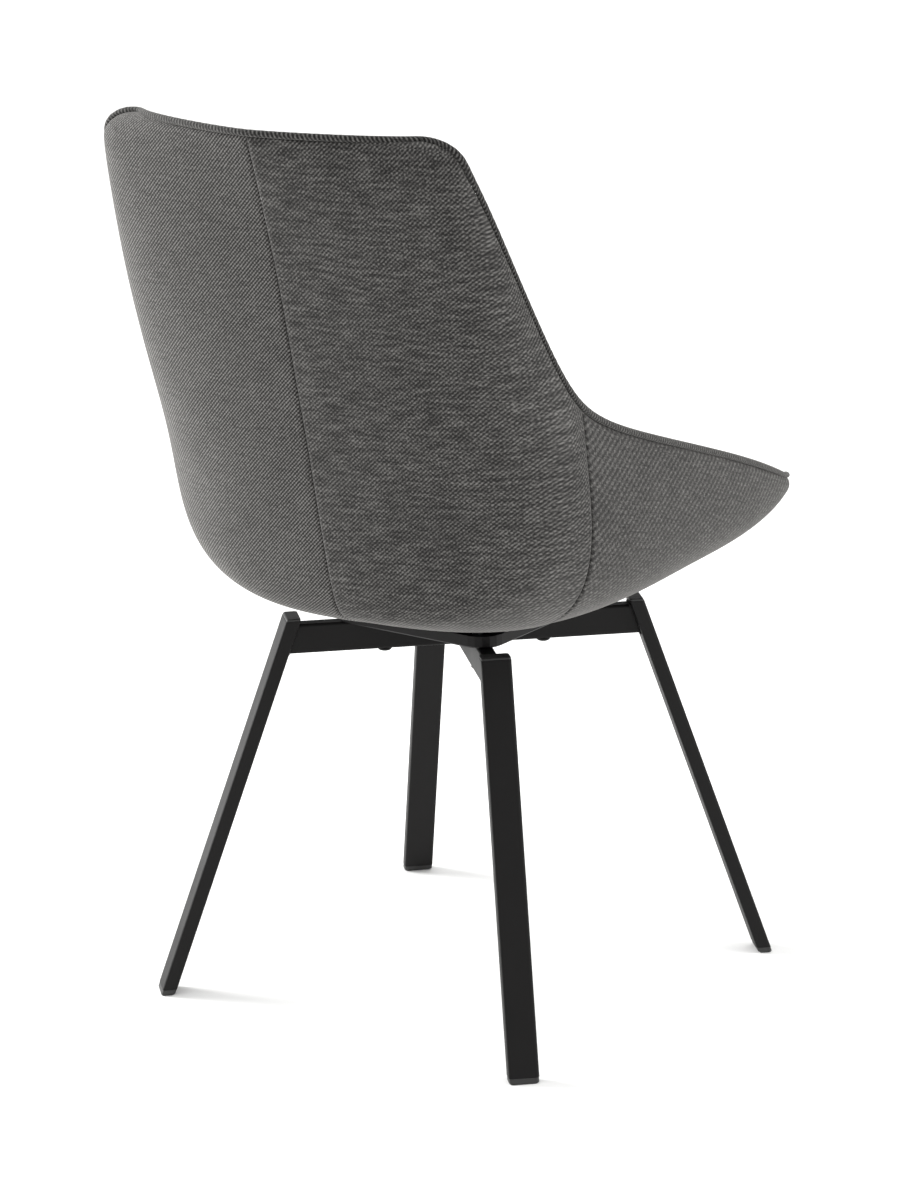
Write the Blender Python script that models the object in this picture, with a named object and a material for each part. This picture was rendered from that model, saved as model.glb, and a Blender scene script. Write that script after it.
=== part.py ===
"""Upholstered swivel dining chair: a bucket seat of moulded plywood, padded and covered in woven fabric,
turning on a welded four-leg base of rectangular steel tube.

Metres, +Z up. The chair faces -Y and stands on the plane z = 0. The swivel axis is the vertical line
through (0, SWIVEL_Y). The seat is symmetrical about the plane x = 0.
"""
import bpy
import bmesh
import numpy as np
from math import cos, pi, radians, sin, sqrt

# ---- driving dimensions -------------------------------------------------------------------------
GAP = 0.0003                  # clearance between touching pieces
SWIVEL_Y = -0.0544            # swivel axis, forward of the middle of the footprint
BASE_TURN = radians(39.5)     # how far the cross of the base stands turned under the seat

LEG_WIDTH = 0.030             # leg tube, across
LEG_DEPTH = 0.014             # leg tube, inner face to outer face
TUBE_WALL = 0.0015
TUBE_CORNER = 0.0022          # outer corner radius of the tubes
LEG_TOP_Z = 0.3866
LEG_TOP_RADIUS = 0.1722       # swivel axis to the middle of a leg's top
FOOT_RADIUS = 0.3075          # swivel axis to the middle of a foot
PLUG_PLATE = 0.0022
PLUG_STEM = 0.012
PLUG_EDGE = 0.0008            # rounding of a plug's top edge
STEM_CORNER = 0.0004          # corner of the stems inside the tubes
GLIDE_PLATE = 0.006
GLIDE_EDGE = 0.0018           # chamfer under a glide

ARM_WIDTH = 0.016
ARM_HEIGHT = 0.030
ARM_TOP_Z = 0.3786

TRAY_SIDE = 0.190
TRAY_CORNER = 0.024
TRAY_HEIGHT = 0.012
TRAY_SHEET = 0.002
BOLT_RADIUS_AT = 0.080        # swivel axis to the bolts that hold the tray on the arms
BOLT_SHANK = 0.003
BOLT_HEAD = 0.0072
BOLT_HEAD_HEIGHT = 0.0035
NUT_RADIUS = 0.0056
NUT_HEIGHT = 0.005

PLATE_TOP_Z = 0.3972
PLATE_SHEET = 0.0025
PLATE_SIDE = 0.150
PLATE_CORNER = 0.016
SCREW_AT = 0.060              # seat screws stand at +-SCREW_AT in x and y from the axis
SCREW_SHANK = 0.0030
SCREW_HEAD = 0.0060
SCREW_HEAD_HEIGHT = 0.0026
SPINDLE_RADIUS = 0.008
SPINDLE_FLANGE = 0.020
BEARING_RADIUS = 0.050

COVER = 0.0030                # outer fabric with its thin foam backing
BOARD = 0.0080                # moulded plywood
LAYER_GAP = 0.0005
PIPING_RADIUS = 0.0030
RIM_INSET = 2 * PIPING_RADIUS + GAP
TOP_CORNER = 0.036            # rounding of the two top corners
TOP_CORNER_U = 0.055
FRONT_CORNER = 0.030          # rounding of the two front corners
FRONT_CORNER_U = 0.048
CREASE_GAP_U = 0.003
CREASE_U = 0.46               # where the back pad meets the seat pad
SIDE_SEAM_U = 0.52            # cross seam of the outer cover
SEAM_FORWARD = 0.11           # the seam leans forward under the seat,
SEAM_BACKWARD = 0.12          # and back up to the rim at both sides
SEAM_BEND = 2.38

# The bucket is a run of cross sections, u = 0 at the top of the back and u = 1 at the front of the
# seat. Each section runs from rim to rim through the centre line. Distances are from the swivel axis.
# PAD_RIM gives the width of the padded rim, from the outer face to the inner one.
KNOTS = np.array([0.0, 0.15, 0.31, 0.46, 0.60, 0.80, 0.93, 1.0])
RIM_HALF_WIDTH = [0.1855, 0.202, 0.218, 0.2255, 0.236, 0.248, 0.244, 0.236]
RIM_Y = [0.3315, 0.295, 0.205, 0.135, 0.060, -0.118, -0.218, -0.261]
RIM_Z = [0.927, 0.857, 0.705, 0.639, 0.606, 0.542, 0.502, 0.483]
CENTRE_Y = [0.388, 0.327, 0.262, 0.220, 0.121, -0.088, -0.2435, -0.277]
CENTRE_Z = [0.929, 0.744, 0.498, 0.4305, 0.4045, 0.4065, 0.438, 0.474]
SQUARENESS = [1.45, 2.3, 2.08, 2.85, 3.4, 3.4, 3.3, 2.6]
SEAT_FACE_Y = [0.366, 0.287, 0.216, 0.172, 0.105, -0.088, -0.225, -0.264]
SEAT_FACE_Z = [0.926, 0.742, 0.512, 0.478, 0.463, 0.462, 0.472, 0.4715]
PAD_RIM_ACROSS = [0.009, 0.012, 0.016, 0.017, 0.017, 0.017, 0.017, 0.017]
PAD_RIM_FORWARD = [0.015, 0.012, 0.006, 0.002, 0.0, 0.0, 0.0, 0.0]
SECTION_STEPS = 161           # points along half a cross section, for measuring its length

GREY_FABRIC = (0.105, 0.103, 0.099)
DARK_FABRIC = (0.055, 0.054, 0.052)
FOAM_FABRIC = (0.115, 0.113, 0.108)
BLACK_STEEL = (0.012, 0.011, 0.011)
ZINC = (0.45, 0.45, 0.44)
BLACK_NYLON = (0.015, 0.015, 0.016)
BIRCH = (0.55, 0.38, 0.20)


# ---- scene and materials ------------------------------------------------------------------------
def clear_scene():
    for obj in list(bpy.data.objects):
        bpy.data.objects.remove(obj, do_unlink=True)


def material(name, colour, roughness, metallic=0.0):
    mat = bpy.data.materials.get(name)
    if mat is None:
        mat = bpy.data.materials.new(name)
        mat.use_nodes = True
        shader = mat.node_tree.nodes["Principled BSDF"]
        shader.inputs["Base Color"].default_value = (*colour, 1.0)
        shader.inputs["Roughness"].default_value = roughness
        shader.inputs["Metallic"].default_value = metallic
    return mat


def empty(name, turn):
    """An empty on the swivel axis, for the pieces that stand or turn with it."""
    holder = bpy.data.objects.new(name, None)
    bpy.context.scene.collection.objects.link(holder)
    holder.location = (0.0, SWIVEL_Y, 0.0)
    holder.rotation_euler = (0.0, 0.0, turn)
    return holder


def add_object(name, bm, mat, parent, turn=0.0, smooth=False):
    bmesh.ops.recalc_face_normals(bm, faces=bm.faces)
    mesh = bpy.data.meshes.new(name)
    bm.to_mesh(mesh)
    bm.free()
    mesh.materials.append(mat)
    if smooth:
        mesh.shade_smooth()
        mesh.set_sharp_from_angle(angle=radians(35))
    obj = bpy.data.objects.new(name, mesh)
    bpy.context.scene.collection.objects.link(obj)
    obj.parent = parent
    obj.rotation_euler = (0.0, 0.0, turn)
    return obj


def cut(obj, cutter_bm, name):
    """Cuts obj with a hidden cutter, in the same parent's coordinates."""
    cutter = add_object(name, cutter_bm, obj.data.materials[0], obj.parent, obj.rotation_euler.z)
    cutter.hide_render = True
    cutter.display_type = "WIRE"
    boolean = obj.modifiers.new("holes", "BOOLEAN")
    boolean.operation = "DIFFERENCE"
    boolean.solver = "EXACT"
    boolean.object = cutter


# ---- small shape helpers ------------------------------------------------------------------------
def rounded_rectangle(width, depth, corner, steps=2):
    """Outline points about the origin, anticlockwise."""
    points = []
    for k, (sx, sy) in enumerate(((1, 1), (-1, 1), (-1, -1), (1, -1))):
        cx = sx * (width / 2 - corner)
        cy = sy * (depth / 2 - corner)
        for i in range(steps + 1):
            angle = (k + i / steps) * pi / 2
            points.append((cx + corner * cos(angle), cy + corner * sin(angle)))
    return points


def ring(bm, points, z, shift=(0.0, 0.0)):
    return [bm.verts.new((x + shift[0], y + shift[1], z)) for x, y in points]


def bridge(bm, lower, upper):
    for i in range(len(lower)):
        j = (i + 1) % len(lower)
        bm.faces.new((lower[i], lower[j], upper[j], upper[i]))


def stack(bm, rings, close=True):
    """Joins rings in order, and closes both ends or the last ring to the first."""
    for lower, upper in zip(rings, rings[1:]):
        bridge(bm, lower, upper)
    if close:
        bm.faces.new(rings[0][::-1])
        bm.faces.new(rings[-1])
    else:
        bridge(bm, rings[-1], rings[0])


def turned(bm, profile, centre=(0.0, 0.0), sides=24, hole=False):
    """A turned piece: profile is (radius, z) from bottom to top, or a closed loop with hole=True."""
    rings = []
    for radius, z in profile:
        points = [(radius * cos(2 * pi * k / sides), radius * sin(2 * pi * k / sides)) for k in range(sides)]
        rings.append(ring(bm, points, z, centre))
    stack(bm, rings, close=not hole)


def leg_shift(z):
    """Distance of a leg's centre line from the swivel axis at height z."""
    return FOOT_RADIUS + (LEG_TOP_RADIUS - FOOT_RADIUS) * z / LEG_TOP_Z


LEG_SLOPE = (FOOT_RADIUS - LEG_TOP_RADIUS) / LEG_TOP_Z
LEG_CUT_DEPTH = LEG_DEPTH * sqrt(1 + LEG_SLOPE ** 2)   # depth of the tube in a level cut


# ---- base: legs, arms and their fittings --------------------------------------------------------
def leg_outline(inset, corner):
    """Level outline of a leg tube, its depth along x."""
    return rounded_rectangle(LEG_CUT_DEPTH - 2 * inset, LEG_WIDTH - 2 * inset, corner)


def build_leg(name, mat, parent, turn):
    bm = bmesh.new()
    low = GLIDE_PLATE + GAP
    high = LEG_TOP_Z - PLUG_PLATE - GAP
    outer = leg_outline(0.0, TUBE_CORNER)
    inner = leg_outline(TUBE_WALL, TUBE_CORNER - TUBE_WALL)
    rings = [ring(bm, outer, low, (leg_shift(low), 0)), ring(bm, outer, high, (leg_shift(high), 0)),
             ring(bm, inner, high, (leg_shift(high), 0)), ring(bm, inner, low, (leg_shift(low), 0))]
    stack(bm, rings, close=False)
    return add_object(name, bm, mat, parent, turn)


def build_leg_plug(name, mat, parent, turn):
    bm = bmesh.new()
    plate_low = LEG_TOP_Z - PLUG_PLATE
    plate_top = LEG_TOP_Z
    stem_low = plate_low - PLUG_STEM
    stem = leg_outline(TUBE_WALL + GAP, STEM_CORNER)
    plate = leg_outline(GAP, TUBE_CORNER)
    crown = leg_outline(GAP + PLUG_EDGE, TUBE_CORNER)
    rings = [ring(bm, stem, stem_low, (leg_shift(stem_low), 0)),
             ring(bm, stem, plate_low, (leg_shift(plate_low), 0)),
             ring(bm, plate, plate_low, (leg_shift(plate_low), 0)),
             ring(bm, plate, plate_top - PLUG_EDGE, (leg_shift(plate_top - PLUG_EDGE), 0)),
             ring(bm, crown, plate_top, (leg_shift(plate_top), 0))]
    stack(bm, rings)
    return add_object(name, bm, mat, parent, turn)


def build_foot_glide(name, mat, parent, turn):
    bm = bmesh.new()
    stem_top = GLIDE_PLATE + PLUG_STEM
    base = leg_outline(GLIDE_EDGE, TUBE_CORNER)
    plate = leg_outline(GAP, TUBE_CORNER)
    stem = leg_outline(TUBE_WALL + GAP, STEM_CORNER)
    rings = [ring(bm, base, 0.0, (leg_shift(0.0), 0)),
             ring(bm, plate, GLIDE_EDGE, (leg_shift(GLIDE_EDGE), 0)),
             ring(bm, plate, GLIDE_PLATE, (leg_shift(GLIDE_PLATE), 0)),
             ring(bm, stem, GLIDE_PLATE, (leg_shift(GLIDE_PLATE), 0)),
             ring(bm, stem, stem_top, (leg_shift(stem_top), 0))]
    stack(bm, rings)
    return add_object(name, bm, mat, parent, turn)


def arm_end(z):
    """Where an arm stops short of the leg's inner face at height z."""
    return leg_shift(z) - LEG_CUT_DEPTH / 2 - GAP


def build_arm(name, mat, parent, turn, through):
    """A tube on edge, its ends cut to the slope of the legs: right across, or from the crossing out."""
    bm = bmesh.new()
    bottom = ARM_TOP_Z - ARM_HEIGHT
    sections = []
    for inset, corner in ((0.0, TUBE_CORNER), (TUBE_WALL, TUBE_CORNER - TUBE_WALL)):
        outline = rounded_rectangle(ARM_WIDTH - 2 * inset, ARM_HEIGHT - 2 * inset, corner)
        near, far = [], []
        for y, h in outline:
            z = bottom + ARM_HEIGHT / 2 + h
            inner_x = -arm_end(z) if through else ARM_WIDTH / 2 + GAP
            near.append(bm.verts.new((inner_x, y, z)))
            far.append(bm.verts.new((arm_end(z), y, z)))
        sections.append((near, far))
    (outer_near, outer_far), (inner_near, inner_far) = sections
    stack(bm, [outer_near, outer_far, inner_far, inner_near], close=False)
    arm = add_object(name, bm, mat, parent, turn)
    holes = bmesh.new()
    for side in ((1, -1) if through else (1,)):
        turned(holes, [(BOLT_SHANK + GAP, bottom - 0.005), (BOLT_SHANK + GAP, ARM_TOP_Z + 0.005)],
               (side * BOLT_RADIUS_AT, 0), 12)
    cut(arm, holes, name + "_holes")
    return arm


def build_tray(mat, parent):
    """Pressed tray on the crossing, its corners over the arms."""
    bm = bmesh.new()
    floor = ARM_TOP_Z + GAP
    rim = floor + TRAY_HEIGHT
    outer = rounded_rectangle(TRAY_SIDE, TRAY_SIDE, TRAY_CORNER, 5)
    heel = rounded_rectangle(TRAY_SIDE - 0.003, TRAY_SIDE - 0.003, TRAY_CORNER - 0.0015, 5)
    inner_side = TRAY_SIDE - 2 * TRAY_SHEET
    inner = rounded_rectangle(inner_side, inner_side, TRAY_CORNER - TRAY_SHEET, 5)
    rings = [ring(bm, heel, floor), ring(bm, outer, floor + 0.0015), ring(bm, outer, rim),
             ring(bm, inner, rim), ring(bm, inner, floor + TRAY_SHEET)]
    stack(bm, rings)
    tray = add_object("swivel_tray", bm, mat, parent, pi / 4)
    holes = bmesh.new()
    for k in range(4):
        angle = (k + 0.5) * pi / 2
        centre = (BOLT_RADIUS_AT * cos(angle), BOLT_RADIUS_AT * sin(angle))
        turned(holes, [(BOLT_SHANK + GAP, floor - 0.003), (BOLT_SHANK + GAP, floor + 0.005)], centre, 12)
    cut(tray, holes, "swivel_tray_holes")
    return tray


def build_tray_bolt(name, mat, parent, turn):
    bm = bmesh.new()
    seat = ARM_TOP_Z - ARM_HEIGHT - GAP
    tip = ARM_TOP_Z + GAP + TRAY_SHEET + GAP + NUT_HEIGHT + 0.0015
    low = seat - BOLT_HEAD_HEIGHT
    profile = [(0.0030, low), (0.0058, low + 0.0009), (BOLT_HEAD, low + 0.0024), (BOLT_HEAD, seat),
               (BOLT_SHANK, seat), (BOLT_SHANK, tip - 0.0006), (BOLT_SHANK - 0.0006, tip)]
    turned(bm, profile, (BOLT_RADIUS_AT, 0), 12)
    return add_object(name, bm, mat, parent, turn, smooth=True)


def build_tray_nut(name, mat, parent, turn):
    bm = bmesh.new()
    low = ARM_TOP_Z + GAP + TRAY_SHEET + GAP
    hole = BOLT_SHANK + GAP
    profile = [(hole, low), (NUT_RADIUS, low), (NUT_RADIUS, low + NUT_HEIGHT), (hole, low + NUT_HEIGHT)]
    turned(bm, profile, (BOLT_RADIUS_AT, 0), 12, hole=True)
    return add_object(name, bm, mat, parent, turn)


def build_spindle(mat, parent):
    """Stub axle welded to the tray floor, with a groove for its retaining ring."""
    low = ARM_TOP_Z + GAP + TRAY_SHEET + GAP
    groove = PLATE_TOP_Z + GAP
    profile = [(SPINDLE_FLANGE, low), (SPINDLE_FLANGE, low + 0.003), (SPINDLE_RADIUS, low + 0.003),
               (SPINDLE_RADIUS, groove), (SPINDLE_RADIUS - 0.0010, groove),
               (SPINDLE_RADIUS - 0.0010, groove + 0.0012), (SPINDLE_RADIUS - 0.0002, groove + 0.0012),
               (SPINDLE_RADIUS - 0.0008, groove + 0.0018)]
    bm = bmesh.new()
    turned(bm, profile)
    return add_object("swivel_spindle", bm, mat, parent, smooth=True)


def build_bearing(mat, parent):
    """Thick nylon thrust ring between the tray and the turning plate."""
    low = ARM_TOP_Z + GAP + TRAY_SHEET + GAP
    top = PLATE_TOP_Z - PLATE_SHEET - GAP
    bore = SPINDLE_RADIUS + 0.0002
    step = low + 0.003 + GAP
    profile = [(SPINDLE_FLANGE + GAP, low), (BEARING_RADIUS, low), (BEARING_RADIUS, top - 0.002),
               (BEARING_RADIUS - 0.002, top), (bore, top), (bore, step), (SPINDLE_FLANGE + GAP, step)]
    bm = bmesh.new()
    turned(bm, profile, sides=24, hole=True)
    return add_object("bearing_ring", bm, mat, parent, smooth=True)


def build_retaining_ring(mat, parent):
    """Open spring ring in the spindle's groove."""
    low = PLATE_TOP_Z + GAP + 0.0001
    top = low + 0.0010
    bm = bmesh.new()
    sides = 16
    opening = radians(34)
    rings = []
    for k in range(sides + 1):
        angle = opening / 2 + (2 * pi - opening) * k / sides
        inner, outer = SPINDLE_RADIUS - 0.0008, SPINDLE_RADIUS + 0.0035
        corners = ((inner, low), (outer, low), (outer, top), (inner, top))
        rings.append([bm.verts.new((r * cos(angle), r * sin(angle), z)) for r, z in corners])
    stack(bm, rings)
    return add_object("retaining_ring", bm, mat, parent)


# ---- bucket surface -----------------------------------------------------------------------------
def spline(values, u):
    """Natural cubic spline through the values at KNOTS, at every u of an array."""
    values = np.asarray(values, dtype=float)
    count = len(KNOTS)
    steps = np.diff(KNOTS)
    matrix = np.eye(count)
    right = np.zeros(count)
    for i in range(1, count - 1):
        matrix[i, i - 1:i + 2] = (steps[i - 1], 2 * (steps[i - 1] + steps[i]), steps[i])
        right[i] = 6 * ((values[i + 1] - values[i]) / steps[i] - (values[i] - values[i - 1]) / steps[i - 1])
    bend = np.linalg.solve(matrix, right)
    k = np.clip(np.searchsorted(KNOTS, u, side="right") - 1, 0, count - 2)
    step = steps[k]
    before = (KNOTS[k + 1] - u) / step
    after = (u - KNOTS[k]) / step
    curve = (before ** 3 - before) * bend[k] + (after ** 3 - after) * bend[k + 1]
    return before * values[k] + after * values[k + 1] + curve * step ** 2 / 6


def quarter_round(size, share):
    """What a rounded corner takes off, from all of its size at share 0 to nothing at share 1."""
    return size * (1 - np.sqrt(1 - (1 - np.clip(share, 0.0, 1.0)) ** 2))


def section(u, inner, rounded):
    """Half width, rim middle and centre point of the cross section at u."""
    width = spline(RIM_HALF_WIDTH, u)
    rim = np.stack([spline(RIM_Y, u), spline(RIM_Z, u)], axis=-1)
    centre = np.stack([spline(CENTRE_Y, u), spline(CENTRE_Z, u)], axis=-1)
    fade = np.minimum(1.0, u / TOP_CORNER_U) * np.minimum(1.0, (1 - u) / FRONT_CORNER_U)
    rim = rim + unit(centre - rim) * RIM_INSET * np.maximum(0.0, fade)[..., None]
    if rounded:
        width = width - quarter_round(TOP_CORNER, u / TOP_CORNER_U)
        width = width - quarter_round(FRONT_CORNER, (1 - u) / FRONT_CORNER_U)
    if inner:
        width = width - spline(PAD_RIM_ACROSS, u)
        rim[..., 0] -= spline(PAD_RIM_FORWARD, u)
        centre = np.stack([spline(SEAT_FACE_Y, u), spline(SEAT_FACE_Z, u)], axis=-1)
    return width, rim, centre


def picked(table, index):
    return np.take_along_axis(table, index[..., None], axis=-1)[..., 0]


def bucket_point(u, v, inner=False, rounded=True):
    """Points of the bucket: v = -1 at one rim, 0 on the centre line and 1 at the other rim, evenly
    along each cross section. The curve is a superellipse."""
    width, rim, centre = section(u, inner, rounded)
    theta = np.linspace(0.0, pi / 2, SECTION_STEPS)
    power = 2.0 / spline(SQUARENESS, u)[..., None]
    across = width[..., None] * np.sin(theta) ** power
    down = np.cos(theta) ** power
    down[..., -1] = 0.0
    depth = np.linalg.norm(centre - rim, axis=-1)[..., None]
    length = np.cumsum(np.hypot(np.diff(across), depth * np.diff(down)), axis=-1)
    length = np.concatenate((np.zeros_like(depth), length), axis=-1)
    length /= length[..., -1:]
    k = np.clip((length <= np.abs(v)[..., None]).sum(axis=-1) - 1, 0, SECTION_STEPS - 2)
    share = (np.abs(v) - picked(length, k)) / (picked(length, k + 1) - picked(length, k))
    x = np.sign(v) * ((1 - share) * picked(across, k) + share * picked(across, k + 1))
    h = (1 - share) * picked(down, k) + share * picked(down, k + 1)
    middle = rim + h[..., None] * (centre - rim)
    return np.stack([x, middle[..., 0], middle[..., 1]], axis=-1)


def bent(row, v, inner=False):
    """Where a row lies at v. The rows bend with the cover's cross seam, most of all beside it, and
    inside the bucket they only climb to the sides."""
    share = np.where(row < SIDE_SEAM_U, row / SIDE_SEAM_U, (1 - row) / (1 - SIDE_SEAM_U))
    strength = share ** 2 * (3 - 2 * share)
    forward = 0.0 if inner else SEAM_FORWARD
    return row + strength * (forward - (forward + SEAM_BACKWARD) * np.abs(v) ** SEAM_BEND)


def grid(rows, columns):
    return np.meshgrid(np.asarray(rows, dtype=float), np.asarray(columns, dtype=float), indexing="ij")


def surface(rows, columns, inner=False):
    row, v = grid(rows, columns)
    return bucket_point(bent(row, v, inner), v, inner)


def unit(vectors):
    return vectors / np.linalg.norm(vectors, axis=-1, keepdims=True)


def directions(rows, columns):
    """Unit vectors of the outer surface: along the bucket, across it, and outward."""
    row, v = grid(rows, columns)
    u = bent(row, v)
    du, dv = 0.004, 0.04
    ahead = bucket_point(np.clip(u + du, 0, 1), v, rounded=False)
    behind = bucket_point(np.clip(u - du, 0, 1), v, rounded=False)
    along = unit(ahead - behind)
    left = bucket_point(u, np.clip(v + dv, -1, 1), rounded=False)
    right = bucket_point(u, np.clip(v - dv, -1, 1), rounded=False)
    across = unit(left - right)
    return along, across, unit(np.cross(across, along))


def offset_sheet(rows, columns, inward):
    """Outer surface moved inward by a distance, one number or one for each point."""
    outward = directions(rows, columns)[2]
    inward = np.broadcast_to(np.asarray(inward, dtype=float), outward.shape[:2])
    return surface(rows, columns) - outward * inward[..., None]


def closed_slab(bm, first, second):
    """Closed solid between two sheets of the same grid."""
    rows, columns = first.shape[:2]
    grids = [[[bm.verts.new(point) for point in row] for row in sheet] for sheet in (first, second)]
    for grid, flip in zip(grids, (False, True)):
        for i in range(rows - 1):
            for j in range(columns - 1):
                a, b = grid[i][j], grid[i + 1][j]
                c, d = grid[i + 1][j + 1], grid[i][j + 1]
                for tri in ((a, b, c), (a, c, d)):
                    bm.faces.new(tri[::-1] if flip else tri)
    edge = [(0, j) for j in range(columns)] + [(i, columns - 1) for i in range(1, rows)]
    edge += [(rows - 1, j) for j in range(columns - 2, -1, -1)] + [(i, 0) for i in range(rows - 2, 0, -1)]
    for (i, j), (k, m) in zip(edge, edge[1:] + edge[:1]):
        a, b = grids[0][i][j], grids[0][k][m]
        c, d = grids[1][k][m], grids[1][i][j]
        bm.faces.new((a, b, c))
        bm.faces.new((a, c, d))


def underside_z(x, y, inward):
    """Height of the outer surface moved inward, near the point (x, y) of the underside."""
    flat = offset_sheet(np.linspace(0.50, 0.85, 50), np.linspace(-0.5, 0.5, 51), inward).reshape(-1, 3)
    nearest = np.argmin((flat[:, 0] - x) ** 2 + (flat[:, 1] - y) ** 2)
    return float(flat[nearest, 2])


# ---- seat: covers, board, pads and piping -------------------------------------------------------
# Every layer uses the same rows and columns, so that its facets lie parallel to its neighbours'.
BOARD_FIRST_U = 0.024
BOARD_LAST_U = 0.972
BOARD_LAST_V = 0.93
PAD_LAST_U = 0.985            # the seat pad stops just behind the front piping
PAD_STEP_U = 0.0005           # the pads step over the board's edge from this far beyond it
PAD_STEP_V = 0.010
SEAM_GAP_U = 0.0006
SEAM_GAP_V = 0.0024
BOARD_STEP_U = BOARD_FIRST_U - PAD_STEP_U
TOP_ROWS = [0.0, 0.0044, 0.0165, BOARD_STEP_U - 0.003, BOARD_STEP_U, BOARD_FIRST_U]
BACK_ROWS = [0.034, TOP_CORNER_U, 0.12, 0.19, 0.26, 0.33, 0.39, 0.43]
TURN_ROWS = [CREASE_U - CREASE_GAP_U, CREASE_U + CREASE_GAP_U, 0.49, SIDE_SEAM_U - SEAM_GAP_U]
SEAT_ROWS = [SIDE_SEAM_U + SEAM_GAP_U, 0.57, 0.64, 0.72, 0.80, 0.87, 0.92, 1 - FRONT_CORNER_U]
FRONT_ROWS = [BOARD_LAST_U, BOARD_LAST_U + PAD_STEP_U, BOARD_LAST_U + PAD_STEP_U + 0.003, 0.985, 0.996, 1.0]
ROWS = TOP_ROWS + BACK_ROWS + TURN_ROWS + SEAT_ROWS + FRONT_ROWS
HALF_COLUMNS = [SEAM_GAP_V, 0.16, 0.32, 0.46, 0.60, 0.73, 0.85, BOARD_LAST_V]
HALF_COLUMNS += [BOARD_LAST_V + PAD_STEP_V, BOARD_LAST_V + PAD_STEP_V + 0.006, 1.0]
COLUMNS = [-v for v in HALF_COLUMNS[::-1]] + HALF_COLUMNS


def between(values, low, high):
    return [value for value in values if low <= value <= high]


def outer_panel(name, rows, columns, mat, parent):
    bm = bmesh.new()
    closed_slab(bm, offset_sheet(rows, columns, 0.0), offset_sheet(rows, columns, COVER))
    return add_object(name, bm, mat, parent, smooth=True)


def screw_holes(radius, low, high):
    holes = bmesh.new()
    for x in (-SCREW_AT, SCREW_AT):
        for y in (-SCREW_AT, SCREW_AT):
            turned(holes, [(radius, low), (radius, high)], (x, y), 12)
    return holes


def build_covers(mat, parent):
    upper_rows = between(ROWS, 0.0, SIDE_SEAM_U)
    outer_panel("outer_back_left", upper_rows, HALF_COLUMNS, mat, parent)
    outer_panel("outer_back_right", upper_rows, [-v for v in HALF_COLUMNS[::-1]], mat, parent)
    seat_panel = outer_panel("outer_seat_panel", between(ROWS, SIDE_SEAM_U, 1.0), COLUMNS, mat, parent)
    cut(seat_panel, screw_holes(SCREW_SHANK + 0.0006, 0.385, 0.425), "outer_seat_panel_holes")


def build_board(mat, parent):
    rows = between(ROWS, BOARD_FIRST_U, BOARD_LAST_U)
    columns = between(COLUMNS, -BOARD_LAST_V, BOARD_LAST_V)
    near = COVER + LAYER_GAP
    bm = bmesh.new()
    closed_slab(bm, offset_sheet(rows, columns, near), offset_sheet(rows, columns, near + BOARD))
    board = add_object("seat_shell_board", bm, mat, parent, smooth=True)
    holes = bmesh.new()
    for x in (-SCREW_AT, SCREW_AT):
        for y in (-SCREW_AT, SCREW_AT):
            top = tee_nut_top(x, y)
            profile = [
                (0.0052, top - 0.030),
                (0.0052, top - 0.0015),
                (0.0090, top - 0.0015),
                (0.0090, top + 0.010),
            ]
            turned(holes, profile, (x, y), 14)
    cut(board, holes, "seat_shell_board_holes")


def tee_nut_top(x, y):
    return underside_z(x, y, COVER + LAYER_GAP + BOARD) - 0.0014


def build_tee_nut(name, x, y, mat, parent):
    top = tee_nut_top(x, y)
    bore = SCREW_SHANK + GAP
    profile = [(bore, top - 0.0050), (0.0046, top - 0.0050), (0.0046, top - 0.0012), (0.0082, top - 0.0012),
               (0.0082, top), (bore, top)]
    bm = bmesh.new()
    turned(bm, profile, (x, y), 12, hole=True)
    return add_object(name, bm, mat, parent)


def build_seat_screw(name, x, y, mat, parent):
    seat = PLATE_TOP_Z - PLATE_SHEET - GAP
    low = seat - SCREW_HEAD_HEIGHT
    top = tee_nut_top(x, y) - 0.0006
    profile = [(0.0030, low), (SCREW_HEAD - 0.0008, low + 0.0006),
               (SCREW_HEAD, low + 0.0016), (SCREW_HEAD, seat),
               (SCREW_SHANK, seat), (SCREW_SHANK, top)]
    bm = bmesh.new()
    turned(bm, profile, (x, y), 12)
    return add_object(name, bm, mat, parent, smooth=True)


def build_plate(mat, parent):
    """Turning plate, screwed under the seat."""
    low = PLATE_TOP_Z - PLATE_SHEET
    outline = rounded_rectangle(PLATE_SIDE, PLATE_SIDE, PLATE_CORNER, 4)
    bm = bmesh.new()
    stack(bm, [ring(bm, outline, low), ring(bm, outline, PLATE_TOP_Z)])
    plate = add_object("swivel_plate", bm, mat, parent)
    holes = screw_holes(SCREW_SHANK + GAP, low - 0.004, PLATE_TOP_Z + 0.004)
    turned(holes, [(SPINDLE_RADIUS + 0.0004, low - 0.004), (SPINDLE_RADIUS + 0.0004, PLATE_TOP_Z + 0.004)])
    cut(plate, holes, "swivel_plate_holes")


def pad_depth(row, v):
    """How far under the outer surface a pad starts: on the board, or on the cover round its edge."""
    margin = PAD_STEP_U + 0.001
    across_board = abs(v) < BOARD_LAST_V + PAD_STEP_V + 0.001
    on_board = BOARD_FIRST_U - margin < row < BOARD_LAST_U + margin and across_board
    return COVER + 2 * LAYER_GAP + (BOARD if on_board else 0.0)


def build_pad(name, rows, mat, parent):
    depths = np.array([[pad_depth(row, v) for v in COLUMNS] for row in rows])
    bm = bmesh.new()
    closed_slab(bm, offset_sheet(rows, COLUMNS, depths), surface(rows, COLUMNS, inner=True))
    return add_object(name, bm, mat, parent, smooth=True)


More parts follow.
